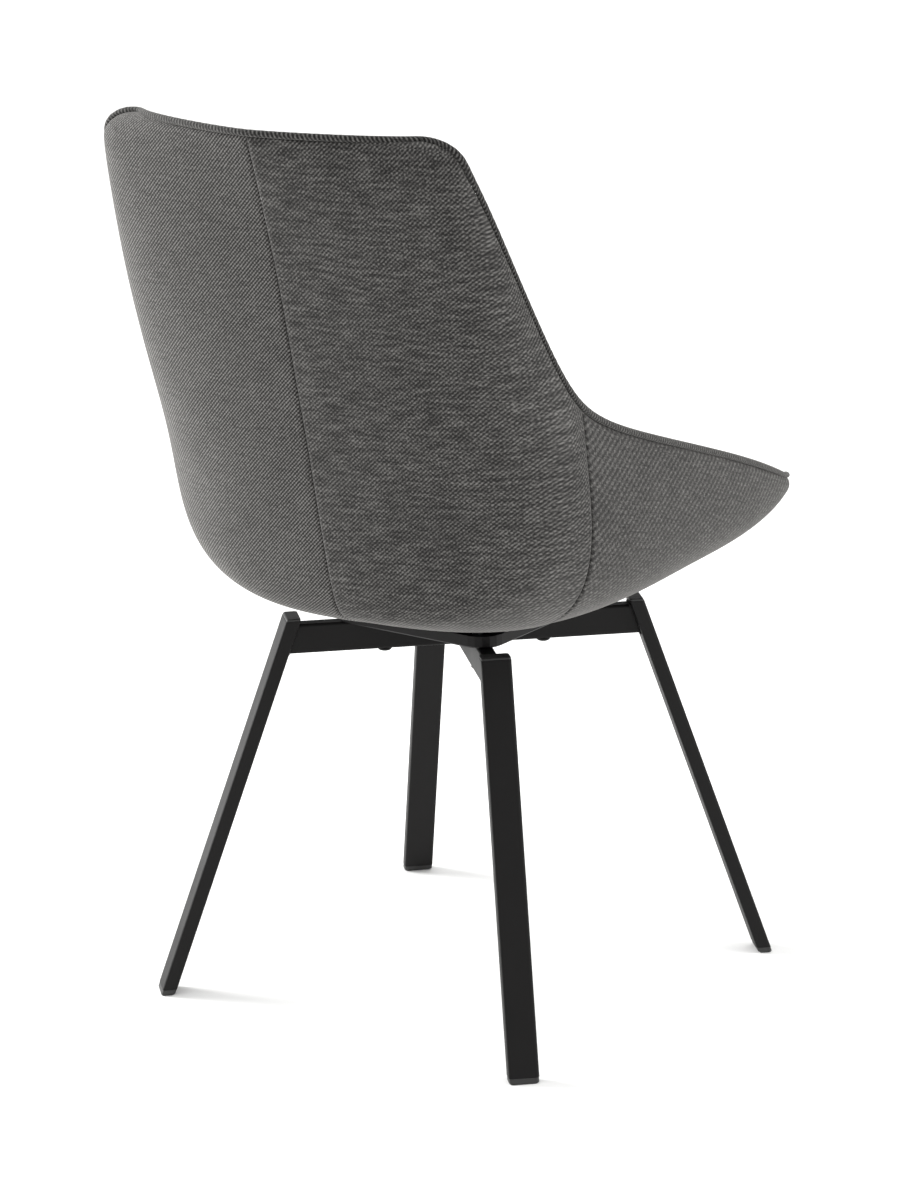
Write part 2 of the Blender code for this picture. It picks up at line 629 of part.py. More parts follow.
def build_piping(mat, parent):
    """Round welt along the whole rim of the bucket."""
    rim_rows = [row for row in ROWS if row not in TOP_ROWS[3:5] and row not in FRONT_ROWS[1:2]]
    top = [(0.0, v) for v in COLUMNS[:-1]]
    left = [(row, 1.0) for row in rim_rows[:-1]]
    front = [(1.0, v) for v in COLUMNS[:0:-1]]
    right = [(row, -1.0) for row in rim_rows[:0:-1]]
    sides = 7
    bm = bmesh.new()
    rings = []
    for row, v in top + left + front + right:
        u = float(bent(np.array(row), np.array(v)))
        point = surface([row], [v])[0, 0]
        along, across, outward = (d[0, 0] for d in directions([row], [v]))
        at_side = abs(v) == 1.0
        rise = max(0.0, 1 - u / TOP_CORNER_U) if at_side else float(u == 0.0)
        fall = max(0.0, 1 - (1 - u) / FRONT_CORNER_U) if at_side else float(u == 1.0)
        side = sqrt(max(0.0, 1 - max(rise, fall) ** 2)) if at_side else 0.0
        beyond = unit(along * (fall - rise) + across * np.sign(v) * side)
        inward = PIPING_RADIUS * (1 - 0.5 * fall)
        centre = point + beyond * (PIPING_RADIUS + GAP) - outward * inward
        circle = [2 * pi * k / sides for k in range(sides)]
        offsets = [PIPING_RADIUS * (cos(a) * beyond + sin(a) * outward) for a in circle]
        rings.append([bm.verts.new(centre + offset) for offset in offsets])
    stack(bm, rings, close=False)
    return add_object("edge_piping", bm, mat, parent, smooth=True)


# ---- the whole chair ----------------------------------------------------------------------------
def build_base():
    base = empty("base_turn", BASE_TURN)
    steel = material("black_powder_coated_steel", BLACK_STEEL, 0.45, 0.3)
    zinc = material("zinc_plated_steel", ZINC, 0.35, 1.0)
    nylon = material("black_nylon", BLACK_NYLON, 0.55)
    for k, place in enumerate(("front_right", "front_left", "rear_left", "rear_right")):
        turn = (k - 2) * pi / 2
        build_leg("leg_" + place, steel, base, turn)
        build_leg_plug("leg_plug_" + place, nylon, base, turn)
        build_foot_glide("foot_glide_" + place, nylon, base, turn)
        build_tray_bolt("tray_bolt_" + place, steel, base, turn)
        build_tray_nut("tray_nut_" + place, zinc, base, turn)
    build_arm("cross_arm_through", steel, base, 0.0, True)
    build_arm("cross_arm_left_half", steel, base, pi / 2, False)
    build_arm("cross_arm_right_half", steel, base, -pi / 2, False)
    build_tray(steel, base)
    build_spindle(zinc, base)
    build_bearing(nylon, base)
    build_retaining_ring(zinc, base)


def build_seat():
    seat = empty("seat_pivot", 0.0)
    fabric = material("charcoal_woven_fabric", GREY_FABRIC, 0.95)
    pad_fabric = material("charcoal_woven_fabric_on_foam", FOAM_FABRIC, 0.95)
    welt = material("charcoal_welt", DARK_FABRIC, 0.95)
    birch = material("moulded_birch_plywood", BIRCH, 0.6)
    steel = material("black_powder_coated_steel", BLACK_STEEL, 0.45, 0.3)
    zinc = material("zinc_plated_steel", ZINC, 0.35, 1.0)
    build_covers(fabric, seat)
    build_board(birch, seat)
    build_pad("back_pad", between(ROWS, 0.0, CREASE_U), pad_fabric, seat)
    build_pad("seat_pad", between(ROWS, CREASE_U, PAD_LAST_U), pad_fabric, seat)
    build_piping(welt, seat)
    build_plate(steel, seat)
    for x, side in ((-SCREW_AT, "right"), (SCREW_AT, "left")):
        for y, end in ((-SCREW_AT, "front"), (SCREW_AT, "rear")):
            build_tee_nut("tee_nut_" + end + "_" + side, x, y, zinc, seat)
            build_seat_screw("seat_screw_" + end + "_" + side, x, y, zinc, seat)


clear_scene()
build_base()
build_seat()
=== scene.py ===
# An upholstered bucket dining chair on a swivelling four-leg steel base.
import math
import bpy
import numpy as np
from mathutils import Matrix, Vector


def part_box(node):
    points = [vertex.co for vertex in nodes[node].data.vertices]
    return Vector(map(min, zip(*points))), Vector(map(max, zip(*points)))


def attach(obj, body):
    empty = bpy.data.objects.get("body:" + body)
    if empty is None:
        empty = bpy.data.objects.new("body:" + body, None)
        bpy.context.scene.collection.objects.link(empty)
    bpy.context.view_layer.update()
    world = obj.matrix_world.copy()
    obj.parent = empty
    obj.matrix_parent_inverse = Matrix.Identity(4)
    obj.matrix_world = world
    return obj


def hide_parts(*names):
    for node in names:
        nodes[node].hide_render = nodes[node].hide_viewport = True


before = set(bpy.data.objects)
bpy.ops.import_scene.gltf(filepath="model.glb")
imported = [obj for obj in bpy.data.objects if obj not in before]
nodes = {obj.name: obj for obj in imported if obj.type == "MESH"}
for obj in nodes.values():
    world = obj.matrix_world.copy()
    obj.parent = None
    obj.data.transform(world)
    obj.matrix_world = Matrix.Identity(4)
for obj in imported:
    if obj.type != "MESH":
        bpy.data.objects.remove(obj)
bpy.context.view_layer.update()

swivelY = -0.0544       # the swivel axis stands at x = 0 and this y
baseTurn = math.radians(39.5)


def linear(hexColour):
    channels = [int(hexColour[k:k + 2], 16) / 255 for k in (1, 3, 5)]
    return tuple(c / 12.92 if c <= 0.04045 else ((c + 0.055) / 1.055) ** 2.4 for c in channels) + (1.0,)


def unit(vectors):
    return vectors / np.linalg.norm(vectors, axis=-1, keepdims=True)


def smooth(share):
    share = np.clip(share, 0.0, 1.0)
    return share * share * (3 - 2 * share)


def addNode(tree, kind, settings=None, links=None):
    made = tree.nodes.new(kind)
    for key, value in (settings or {}).items():
        if isinstance(key, int) or key in made.inputs:
            made.inputs[key].default_value = value
        else:
            setattr(made, key, value)
    for key, source in (links or {}).items():
        tree.links.new(source, made.inputs[key])
    return made


def newMaterial(name, shader):
    made = bpy.data.materials.new(name)
    made.use_nodes = True
    tree = made.node_tree
    surface = tree.nodes["Principled BSDF"]
    for key, value in shader.items():
        surface.inputs[key].default_value = value
    return made, tree, surface


def mathNode(tree, operation, first, second=0.0, third=0.0):
    settings = {"operation": operation}
    links = {}
    for k, value in enumerate((first, second, third)):
        if isinstance(value, bpy.types.NodeSocket):
            links[k] = value
        else:
            settings[k] = value
    return addNode(tree, "ShaderNodeMath", settings, links).outputs[0]


def mixColour(tree, factor, first, second, blend="MIX"):
    settings = {"data_type": "RGBA", "blend_type": blend}
    made = addNode(tree, "ShaderNodeMix", settings)
    for key, value in ((0, factor), (6, first), (7, second)):
        if isinstance(value, bpy.types.NodeSocket):
            tree.links.new(value, made.inputs[key])
        else:
            made.inputs[key].default_value = value
    return made.outputs[2]


def meshPiece(name, points, faces, weave, material):
    mesh = bpy.data.meshes.new(name)
    mesh.from_pydata([tuple(p) for p in points], [], [tuple(int(i) for i in f) for f in faces])
    layer = mesh.uv_layers.new(name="weave")
    corners = np.zeros(len(mesh.loops), dtype=np.int32)
    mesh.loops.foreach_get("vertex_index", corners)
    layer.data.foreach_set("uv", np.asarray(weave, dtype=np.float32)[corners].ravel())
    mesh.materials.append(material)
    mesh.shade_smooth()
    mesh.update()
    made = bpy.data.objects.new(name, mesh)
    bpy.context.scene.collection.objects.link(made)
    return made


# Eight stations run from the top of the back to the front of the seat. Metres, y from the swivel axis.
bucket = {
    "stations": np.array([0.0, 0.15, 0.31, 0.46, 0.60, 0.80, 0.93, 1.0]),
    "halfWidth": [0.1855, 0.202, 0.218, 0.2255, 0.236, 0.248, 0.244, 0.236],
    "rimY": [0.3315, 0.295, 0.205, 0.135, 0.060, -0.118, -0.218, -0.261],
    "rimZ": [0.927, 0.857, 0.705, 0.639, 0.606, 0.542, 0.502, 0.483],
    "centreY": [0.388, 0.327, 0.262, 0.220, 0.121, -0.088, -0.2435, -0.277],
    "centreZ": [0.929, 0.744, 0.498, 0.4305, 0.4045, 0.4065, 0.438, 0.474],
    "squareness": [1.45, 2.3, 2.08, 2.85, 3.4, 3.4, 3.3, 2.6],
    "faceY": [0.366, 0.287, 0.216, 0.172, 0.105, -0.088, -0.225, -0.264],
    "faceZ": [0.926, 0.742, 0.512, 0.478, 0.463, 0.462, 0.472, 0.4715],
    "rimAcross": [0.009, 0.012, 0.016, 0.017, 0.017, 0.017, 0.017, 0.017],
    "rimForward": [0.015, 0.012, 0.006, 0.002, 0.0, 0.0, 0.0, 0.0],
    "topCorner": 0.036, "topCornerEnd": 0.055,
    "frontCorner": 0.030, "frontCornerEnd": 0.048,
    "seam": 0.52, "seamForward": 0.11, "seamBackward": 0.12, "seamBend": 2.38,
    "crease": 0.46,
    "steps": 121,
}
pipingRadius = 0.0030
layerGap = 0.0003


def splineAt(key, u):
    knots = bucket["stations"]
    values = np.asarray(bucket[key], dtype=float)
    steps = np.diff(knots)
    count = len(knots)
    matrix = np.eye(count)
    right = np.zeros(count)
    for i in range(1, count - 1):
        matrix[i, i - 1:i + 2] = (steps[i - 1], 2 * (steps[i - 1] + steps[i]), steps[i])
        right[i] = 6 * ((values[i + 1] - values[i]) / steps[i] - (values[i] - values[i - 1]) / steps[i - 1])
    bend = np.linalg.solve(matrix, right)
    k = np.clip(np.searchsorted(knots, u, side="right") - 1, 0, count - 2)
    step = steps[k]
    before = (knots[k + 1] - u) / step
    after = (u - knots[k]) / step
    curve = (before ** 3 - before) * bend[k] + (after ** 3 - after) * bend[k + 1]
    return before * values[k] + after * values[k + 1] + curve * step ** 2 / 6


def quarterRound(size, share):
    return size * (1 - np.sqrt(1 - (1 - np.clip(share, 0.0, 1.0)) ** 2))


def picked(table, index):
    return np.take_along_axis(table, index[..., None], axis=-1)[..., 0]


def bucketPoint(u, v, inner=False, rounded=True):
    # v is -1 at one rim, 0 on the middle line and 1 at the other rim, evenly along a superellipse
    width = splineAt("halfWidth", u)
    rim = np.stack([splineAt("rimY", u), splineAt("rimZ", u)], axis=-1)
    centre = np.stack([splineAt("centreY", u), splineAt("centreZ", u)], axis=-1)
    fade = np.minimum(1.0, u / bucket["topCornerEnd"]) * np.minimum(1.0, (1 - u) / bucket["frontCornerEnd"])
    inset = 2 * pipingRadius + layerGap
    rim = rim + unit(centre - rim) * inset * np.maximum(0.0, fade)[..., None]
    if rounded:
        width = width - quarterRound(bucket["topCorner"], u / bucket["topCornerEnd"])
        width = width - quarterRound(bucket["frontCorner"], (1 - u) / bucket["frontCornerEnd"])
    if inner:
        width = width - splineAt("rimAcross", u)
        rim[..., 0] -= splineAt("rimForward", u)
        centre = np.stack([splineAt("faceY", u), splineAt("faceZ", u)], axis=-1)
    theta = np.linspace(0.0, math.pi / 2, bucket["steps"])
    power = 2.0 / splineAt("squareness", u)[..., None]
    across = width[..., None] * np.sin(theta) ** power
    down = np.cos(theta) ** power
    down[..., -1] = 0.0
    depth = np.linalg.norm(centre - rim, axis=-1)[..., None]
    length = np.cumsum(np.hypot(np.diff(across), depth * np.diff(down)), axis=-1)
    length = np.concatenate((np.zeros_like(depth), length), axis=-1)
    length /= length[..., -1:]
    k = np.clip((length <= np.abs(v)[..., None]).sum(axis=-1) - 1, 0, bucket["steps"] - 2)
    share = (np.abs(v) - picked(length, k)) / (picked(length, k + 1) - picked(length, k))
    x = np.sign(v) * ((1 - share) * picked(across, k) + share * picked(across, k + 1))
    h = (1 - share) * picked(down, k) + share * picked(down, k + 1)
    middle = rim + h[..., None] * (centre - rim)
    return np.stack([x, middle[..., 0] + swivelY, middle[..., 1]], axis=-1)


def bent(row, v, inner=False):
    # rows bend with the cover's cross seam, which leans forward under the seat and back at the rim
    seam = bucket["seam"]
    strength = smooth(np.where(row < seam, row / seam, (1 - row) / (1 - seam)))
    forward = 0.0 if inner else bucket["seamForward"]
    return row + strength * (forward - (forward + bucket["seamBackward"]) * np.abs(v) ** bucket["seamBend"])


def surfaceAt(rows, columns, inner=False):
    row, v = np.meshgrid(rows, columns, indexing="ij")
    return bucketPoint(bent(row, v, inner), v, inner)


def directionsAt(row, v):
    u = bent(row, v)
    ahead = bucketPoint(np.clip(u + 0.004, 0, 1), v, rounded=False)
    along = unit(ahead - bucketPoint(np.clip(u - 0.004, 0, 1), v, rounded=False))
    left = bucketPoint(u, np.clip(v + 0.03, -1, 1), rounded=False)
    across = unit(left - bucketPoint(u, np.clip(v - 0.03, -1, 1), rounded=False))
    return along, across, unit(np.cross(across, along))


def paced(low, high, count, edge=0.0, edgeCount=0, atLow=False, atHigh=False):
    # evenly spaced values, with more of them close to the ends that are sewn
    values = list(np.linspace(low, high, count))
    for k in range(1, edgeCount):
        step = edge * (k / edgeCount) ** 1.5
        if atLow:
            values.append(low + step)
        if atHigh:
            values.append(high - step)
    return np.array(sorted(set(values)))


# Melange upholstery cloth, woven of thick and thin yarn: a broken twill of light ribs over dark
# gaps, slubs that make faint bands across, flecks of pale yarn, and a soft fuzz at grazing angles.
cloth = {
    "dark": "#1e1d1c", "middle": "#514f4e", "light": "#8a8885", "fleck": "#adaba8",
    "ribStep": 0.0040, "lean": 1.0,         # metres from rib to rib along a row, and how far a rib leans
    "counterStep": 1.18,                    # the crossing twill's step, against the ribs'
    "counter": 0.12, "speckle": 1.15, "ladder": 0.22, "cloud": 0.14, "band": 0.46, "rib": 0.33,
    "fuzz": 0.25, "height": 0.00035,
    "stops": {"dark": 0.15, "middle": 0.47, "light": 0.73, "fleck": 0.91},
}


def clothMaterial(name, toneAndPaintedLight, step=1.0, lean=1.0, ribShare=1.0, bandShare=1.0):
    made, tree, shader = newMaterial(name, {
        "Roughness": 0.88, "IOR": 1.47, "Specular IOR Level": 0.32,
        "Sheen Weight": cloth["fuzz"], "Sheen Roughness": 0.45,
        "Sheen Tint": linear("#d8d6d2"),
    })
    place = addNode(tree, "ShaderNodeUVMap", {"uv_map": "weave"}).outputs["UV"]
    waver = addNode(tree, "ShaderNodeTexNoise", {"Scale": 120.0, "Detail": 2.0}, {"Vector": place})
    sway = mathNode(tree, "MULTIPLY_ADD", waver.outputs["Fac"], 0.9, -0.45)
    parts = addNode(tree, "ShaderNodeSeparateXYZ", None, {"Vector": place})
    across = parts.outputs["X"]
    along = parts.outputs["Y"]
    # ribs lean one way; a weaker twill crosses them the other way
    perMetre = 2 * math.pi / (cloth["ribStep"] * step)
    slope = mathNode(tree, "MULTIPLY_ADD", along, -cloth["lean"] * lean, across)
    rib = mathNode(tree, "SINE", mathNode(tree, "MULTIPLY_ADD", slope, perMetre, sway))
    slope = mathNode(tree, "MULTIPLY_ADD", along, cloth["lean"] * lean, across)
    crossing = perMetre / cloth["counterStep"]
    counter = mathNode(tree, "SINE", mathNode(tree, "MULTIPLY_ADD", slope, crossing, sway))
    level = mathNode(tree, "MULTIPLY_ADD", rib, cloth["rib"] * ribShare, 0.5)
    level = mathNode(tree, "MULTIPLY_ADD", counter, cloth["counter"] * ribShare, level)
    # band: slubs along the rows; ladder: uneven ends; speckle: single yarns; cloud: the dye bath
    patches = {"band": (42.0, 270.0, bandShare), "ladder": (420.0, 26.0, 1.0),
               "speckle": (520.0, 520.0, 1.0), "cloud": (14.0, 14.0, 1.0)}
    for key, (sideways, lengthways, share) in patches.items():
        scaled = addNode(tree, "ShaderNodeMapping", {"Scale": (sideways, lengthways, 1.0)},
                         {"Vector": place})
        noise = addNode(tree, "ShaderNodeTexNoise", {"Scale": 1.0, "Detail": 2.0},
                        {"Vector": scaled.outputs[0]})
        size = cloth[key] * share
        lift = mathNode(tree, "MULTIPLY_ADD", noise.outputs["Fac"], size, -0.5 * size)
        level = mathNode(tree, "ADD", level, lift)
    ramp = addNode(tree, "ShaderNodeValToRGB", None, {"Fac": level})
    stops = ramp.color_ramp.elements
    stops[0].position = cloth["stops"]["dark"]
    stops[0].color = linear(cloth["dark"])
    stops[1].position = cloth["stops"]["fleck"]
    stops[1].color = linear(cloth["fleck"])
    for key in ("middle", "light"):
        stop = stops.new(cloth["stops"][key])
        stop.color = linear(cloth[key])
    # the tone scales the cloth's colour: partly the cloth's own shade, partly painted light or shade for
    # each panel
    colour = mixColour(tree, 1.0, ramp.outputs["Color"], (toneAndPaintedLight, toneAndPaintedLight, toneAndPaintedLight, 1.0), "MULTIPLY")
    tree.links.new(colour, shader.inputs["Base Color"])
    bump = addNode(tree, "ShaderNodeBump", {"Strength": 0.55, "Distance": cloth["height"]},
                   {"Height": level})
    tree.links.new(bump.outputs["Normal"], shader.inputs["Normal"])
    return made


# Powder-coated steel: near black, satin, with the fine orange peel that breaks up its reflections.
def coatedSteel(name, colour, roughness, grain):
    made, tree, shader = newMaterial(name, {"IOR": 1.5, "Roughness": roughness, "Specular IOR Level": 0.20})
    place = addNode(tree, "ShaderNodeTexCoord").outputs["Object"]
    peel = addNode(tree, "ShaderNodeTexNoise", {"Scale": grain, "Detail": 3.0}, {"Vector": place})
    dust = addNode(tree, "ShaderNodeTexNoise", {"Scale": 22.0, "Detail": 4.0}, {"Vector": place})
    shade = mathNode(tree, "MULTIPLY_ADD", dust.outputs["Fac"], 0.9, 0.05)
    pale = tuple(min(1.0, c * 1.7) for c in linear(colour)[:3]) + (1.0,)
    tree.links.new(mixColour(tree, shade, linear(colour), pale), shader.inputs["Base Color"])
    rough = mathNode(tree, "MULTIPLY_ADD", dust.outputs["Fac"], 0.16, roughness - 0.08)
    tree.links.new(rough, shader.inputs["Roughness"])
    bump = addNode(tree, "ShaderNodeBump", {"Strength": 0.25, "Distance": 0.0002},
                   {"Height": peel.outputs["Fac"]})
    tree.links.new(bump.outputs["Normal"], shader.inputs["Normal"])
    return made


# Injection-moulded nylon: black, finely spark-eroded, so it looks a little duller than the steel.
def mouldedNylon():
    made, tree, shader = newMaterial("mouldedBlackNylon", {"IOR": 1.53, "Roughness": 0.5})
    place = addNode(tree, "ShaderNodeTexCoord").outputs["Object"]
    spark = addNode(tree, "ShaderNodeTexNoise", {"Scale": 2600.0, "Detail": 2.0}, {"Vector": place})
    shade = mixColour(tree, spark.outputs["Fac"], linear("#141414"), linear("#232322"))
    tree.links.new(shade, shader.inputs["Base Color"])
    bump = addNode(tree, "ShaderNodeBump", {"Strength": 0.3, "Distance": 0.0001},
                   {"Height": spark.outputs["Fac"]})
    tree.links.new(bump.outputs["Normal"], shader.inputs["Normal"])
    return made


# Zinc-plated steel: bright, slightly blue-grey, with cloudy patches from the plating bath.
def platedZinc():
    made, tree, shader = newMaterial("platedZinc", {"Metallic": 1.0, "Roughness": 0.32})
    place = addNode(tree, "ShaderNodeTexCoord").outputs["Object"]
    patch = addNode(tree, "ShaderNodeTexNoise", {"Scale": 240.0, "Detail": 3.0}, {"Vector": place})
    shade = mixColour(tree, patch.outputs["Fac"], linear("#a9acad"), linear("#d3d5d4"))
    tree.links.new(shade, shader.inputs["Base Color"])
    rough = mathNode(tree, "MULTIPLY_ADD", patch.outputs["Fac"], 0.2, 0.24)
    tree.links.new(rough, shader.inputs["Roughness"])
    return made


# Moulded birch plywood: pale, with 1.3 mm plies and long pores.
def birchPly():
    made, tree, shader = newMaterial("mouldedBirchPlywood", {"IOR": 1.5, "Roughness": 0.6})
    place = addNode(tree, "ShaderNodeTexCoord").outputs["Object"]
    long = addNode(tree, "ShaderNodeMapping", {"Scale": (160.0, 12.0, 12.0)}, {"Vector": place}).outputs[0]
    pores = addNode(tree, "ShaderNodeTexNoise", {"Scale": 1.0, "Detail": 4.0}, {"Vector": long})
    shade = mixColour(tree, pores.outputs["Fac"], linear("#b98f5f"), linear("#d9b98a"))
    tree.links.new(shade, shader.inputs["Base Color"])
    return made


# The seat's twill is drawn coarser than the back's, so that it shows on the seat's slanting sides.
# The panels are one cloth, but each gets its own tone: painted light on the back's left panel and the pads,
# which are lighter, and painted shade on the back's right panel and the seat, which are darker.
litBackLeftCloth = clothMaterial("wovenMelangeBackLeftPaintedLit", 0.405, 0.94, 1.0, 1.05, 0.8)
shadedBackRightCloth = clothMaterial("wovenMelangeBackRightPaintedShade", 0.375, 1.06, 1.06, 0.60, 1.7)
seatCloth = clothMaterial("wovenMelangeSeat", 0.375, 1.80, -0.72, 0.45, 1.1)
padCloth = clothMaterial("wovenMelangePads", 0.40, 1.0, 1.0, 0.8, 0.9)
weltCloth = clothMaterial("wovenMelangeWelt", 0.27, 1.0, -0.35, 1.1, 0.2)
# Near-black thread: real stitching, drawn dark so that the stitches sunk in the grooves by the piping and
# along the seams also paint the shade in those grooves.
darkThreadAndGrooveShade = newMaterial("spunThreadAndPaintedGrooveShade", {
    "Base Color": linear("#141413"), "Roughness": 0.7, "IOR": 1.5, "Sheen Weight": 0.2})[0]
blackSteel = coatedSteel("powderCoatedSteel", "#080707", 0.52, 900.0)
weldedSteel = coatedSteel("powderCoatedWeld", "#080707", 0.55, 500.0)
blackNylon = mouldedNylon()
zinc = platedZinc()
birch = birchPly()
print("materials made")


# The outer cover is three panels sewn together, tucked in at their seams.
panels = {
    "cover": 0.0026,           # thickness of the foam-backed cloth
    "tuck": 0.0022, "tuckWidth": 0.0050,
    "rimTuck": 0.0026, "rimWidth": 0.0060,
    "frontShare": 0.65, "frontRow": 0.86, "frontFade": 0.08,   # the rim's tuck eases off at the front
    "pucker": 0.00028, "puckerStep": 0.013, "puckerReach": 0.010,
    "swell": 0.0007,           # how far the cloth lies uneven over the foam
    "underTurn": 9.0, "underHeight": 0.47,    # the back's cloth turns under below this height
}
plateSeat = {
    "above": 0.0006, "reach": 0.125, "fade": 0.045, "height": 0.440, "heightFade": 0.01,
    "overRing": 0.0008, "ringReach": 0.030, "ringFade": 0.012,
}
panelGrid = {"upperRows": 210, "lowerRows": 120, "halfColumns": 56, "allColumns": 150,
             "seamHalf": 0.0006, "middleHalf": 0.0010, "endRun": 0.012, "sideRun": 0.03, "runSteps": 8}


def runLength(points, axis):
    steps = np.linalg.norm(np.diff(points, axis=axis), axis=-1)
    first = np.zeros_like(np.take(steps, [0], axis=axis))
    return np.concatenate((first, np.cumsum(steps, axis=axis)), axis=axis)


def rolledEdge(distance, depth, width):
    return quarterRound(depth, distance / width)


def pressedOnPlate(points):
    # the cloth is pressed flat where the turning plate is screwed on, with room for the pin's ring
    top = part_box("swivel_plate")[1].z + plateSeat["above"]
    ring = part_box("retaining_ring")[1].z + plateSeat["overRing"]
    away = np.maximum(np.abs(points[..., 0]), np.abs(points[..., 1] - swivelY))
    centre = np.hypot(points[..., 0], points[..., 1] - swivelY)
    under = smooth((plateSeat["reach"] - away) / plateSeat["fade"])
    under = under * smooth((plateSeat["height"] - points[..., 2]) / plateSeat["heightFade"])
    level = top + (ring - top) * smooth((plateSeat["ringReach"] - centre) / plateSeat["ringFade"])
    points[..., 2] += under * (level - points[..., 2])
    return points


def sewnPanel(name, rows, columns, seams, material):
    points = surfaceAt(rows, columns)
    row, v = np.meshgrid(rows, columns, indexing="ij")
    outward = directionsAt(row, v)[2]
    down = runLength(points, 0)
    over = runLength(points, 1)
    edges = {"low": down, "high": down[-1:] - down, "first": over, "last": over[:, -1:] - over}
    inward = np.zeros(row.shape)
    # the cover lies closer to the piping round the front
    eased = 1 - panels["frontShare"] * smooth((row - panels["frontRow"]) / panels["frontFade"])
    for side, distance in edges.items():
        isSeam = side in seams
        depth = panels["tuck"] if isSeam else panels["rimTuck"] * eased
        width = panels["tuckWidth"] if isSeam else panels["rimWidth"]
        inward = np.maximum(inward, rolledEdge(distance, depth, width))
        along = over if side in ("low", "high") else down
        fade = np.exp(-distance / panels["puckerReach"]) * (1 - np.exp(-distance / 0.002))
        wave = np.sin(2 * math.pi * along / panels["puckerStep"] + 2.2 * np.sin(along * 61.0))
        inward = inward + panels["pucker"] * fade * wave
    swell = panels["swell"] * np.sin(down * 17.0 + 0.6) * np.sin(over * 23.0 + 1.1)
    top = pressedOnPlate(points - outward * (inward + swell)[..., None])
    under = pressedOnPlate(points - outward * (np.maximum(inward, 0) + panels["cover"])[..., None])
    under[..., 2] += np.where(np.abs(top[..., 2] - under[..., 2]) < 0.001, panels["cover"], 0.0)
    weave = seatWeave(points, over) if name == "outerSeat" else backWeave(points, columns)
    return closedPanel(name, top, under, weave, material)


def backWeave(points, columns):
    # the back's cloth hangs with its rows level and turns under below
    middle = int(np.argmin(np.abs(columns)))
    level = np.zeros(points.shape[:2] + (1,))
    flat = np.concatenate((points[..., :2], level), axis=-1)
    over = runLength(flat, 1)
    height = points[..., 2]
    turned = panels["underTurn"] * np.maximum(0, panels["underHeight"] - height) ** 2
    return np.stack([over[:, middle:middle + 1] - over, height - turned], -1)


def seatWeave(points, over):
    # the seat's cloth runs from rim to rim, its rows along the chair
    half = over[:, -1:] / 2
    return np.stack([-points[..., 1], half - np.abs(over - half)], -1)


def gridFaces(rows, columns):
    # the points of a grid, the faces between them, and the loop of points round its edge
    index = np.arange(rows * columns).reshape(rows, columns)
    corners = [index[:-1, :-1], index[1:, :-1], index[1:, 1:], index[:-1, 1:]]
    quads = np.stack(corners, axis=-1).reshape(-1, 4)
    loop = list(index[0, :]) + list(index[1:, -1]) + list(index[-1, -2::-1]) + list(index[-2:0:-1, 0])
    return index, quads, loop


def closedPanel(name, top, under, weave, material):
    rows, columns = top.shape[:2]
    count = rows * columns
    quads, loop = gridFaces(rows, columns)[1:]
    rim = [(a, b, b + count, a + count) for a, b in zip(loop, loop[1:] + loop[:1])]
    faces = [tuple(q) for q in quads] + [tuple(q[::-1] + count) for q in quads] + rim
    points = np.concatenate((top.reshape(-1, 3), under.reshape(-1, 3)))
    both = np.concatenate((weave.reshape(-1, 2), weave.reshape(-1, 2)))
    return meshPiece(name, points, faces, both, material)


def finishPiece(piece, body, replaced=()):
    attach(piece, body)
    if replaced:
        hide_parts(*replaced)


def panelSteps(low, high, count, run):
    return paced(low, high, panelGrid[count], panelGrid[run], panelGrid["runSteps"], True, True)


upperRows = panelSteps(0.0, bucket["seam"] - panelGrid["seamHalf"], "upperRows", "endRun")
lowerRows = panelSteps(bucket["seam"] + panelGrid["seamHalf"], 1.0, "lowerRows", "endRun")
halfColumns = panelSteps(panelGrid["middleHalf"], 1.0, "halfColumns", "sideRun")
allColumns = panelSteps(-1.0, 1.0, "allColumns", "sideRun")
leftPanel = sewnPanel("outerBackLeft", upperRows, halfColumns, ("high", "first"), litBackLeftCloth)
rightPanel = sewnPanel("outerBackRight", upperRows, -halfColumns[::-1], ("high", "last"), shadedBackRightCloth)
seatPanel = sewnPanel("outerSeat", lowerRows, allColumns, ("low",), seatCloth)
finishPiece(leftPanel, "seat", ["outer_back_left"])
finishPiece(rightPanel, "seat", ["outer_back_right"])
finishPiece(seatPanel, "seat", ["outer_seat_panel"])
print("outer panels sewn")


# Welt piping runs round the rim, with stitches beside it, in dark thread that also paints the groove's
# shade.
welt = {
    "radius": 0.0033, "sides": 14, "pace": 0.0026, "sunk": 0.0014, "proud": 0.0006,
    "softened": 6, "asideSoftened": 4,
    "frontY": -0.14, "frontFade": 0.05, "frontSoftened": 26,    # the cord runs smoother round the front
    "nub": 0.035, "nubStep": 0.0105,
}
stitches = {"spacing": 0.0040, "length": 0.0036, "thick": 0.0008, "uneven": 0.15,
            "beside": -0.0002, "sunk": 0.0028, "pace": 0.003}
seamSewing = {"spacing": 0.0036, "length": 0.0044, "thick": 0.0009, "uneven": 0.1, "sunk": 0.0025}


